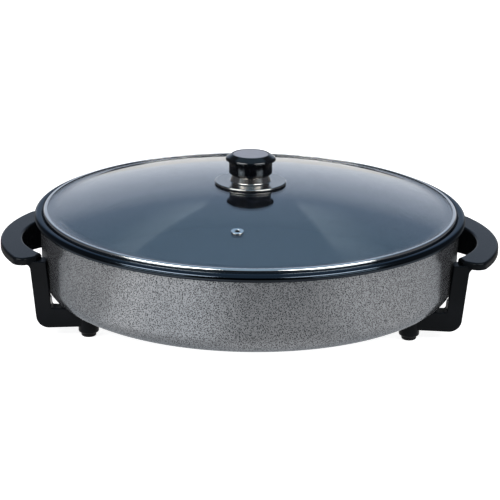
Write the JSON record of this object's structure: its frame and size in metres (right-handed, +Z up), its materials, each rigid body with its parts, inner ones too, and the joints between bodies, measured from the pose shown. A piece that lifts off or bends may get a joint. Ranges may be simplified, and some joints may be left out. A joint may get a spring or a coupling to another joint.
{
  "type": "electric party pan",
  "caption": "Round electric pan on two moulded handle frames, with a lift-off domed glass lid, a knob on a steel collar and a plug-in heater inlet below.",
  "frame": {"origin": "on the floor under the pan's axis", "axes": "+X through the right handle and the inlet, +Z up, -Y towards the viewer of the picture"},
  "size_m": [0.488, 0.42, 0.1638],
  "materials": {
    "pan_finish": "grey hammertone enamel outside, black non-stick coating inside and over the rim",
    "glass": "clear tempered glass",
    "steel": "polished stainless steel",
    "silicone": "matt black silicone",
    "gloss_black": "polished black phenolic",
    "inlay_metal": "brushed anodised aluminium",
    "brass": "plain brass",
    "satin_black": "satin black phenolic",
    "zinc_steel": "zinc plated steel",
    "rubber": "matt black rubber",
    "element_steel": "dark oxidised steel sheath",
    "cover_steel": "aluminised steel sheet",
    "ceramic": "glazed steatite ceramic",
    "pin_metal": "nickel plated brass",
    "bare_aluminium": "bare cast aluminium"
  },
  "bodies": {
    "pan": {"pan_body": "pan_finish", "handle_frame_right": "satin_black", "handle_frame_left": "satin_black", "frame_studs": "zinc_steel", "frame_washers": "zinc_steel", "frame_screws": "zinc_steel", "foot_front_left": "rubber", "foot_rear_left": "rubber", "foot_front_right": "rubber", "foot_rear_right": "rubber", "heating_element": "element_steel", "element_saddles": "zinc_steel", "saddle_studs": "zinc_steel", "saddle_nuts": "zinc_steel", "base_cover": "cover_steel", "cover_studs": "zinc_steel", "cover_nuts": "zinc_steel", "terminal_box": "cover_steel", "box_studs": "zinc_steel", "box_nuts": "zinc_steel", "terminal_insulators": "ceramic", "terminal_pins": "pin_metal", "inlet_guard": "cover_steel", "earth_blade": "brass", "probe_well": "bare_aluminium"},
    "lid": {"lid_glass": "glass", "lid_band": "steel", "vent_eyelet": "steel", "collar_gasket": "silicone", "knob_collar": "steel", "knob_body": "gloss_black", "knob_inlay": "inlay_metal", "knob_insert": "brass", "knob_screw": "steel", "lid_under_gasket": "silicone", "lid_under_washer": "steel"}
  },
  "joints": [
    {"name": "lid_lift", "type": "slide", "parent": "pan", "child": "lid", "axis": [0, 0, 1], "range_m": [0, 0.15]}
  ]
}
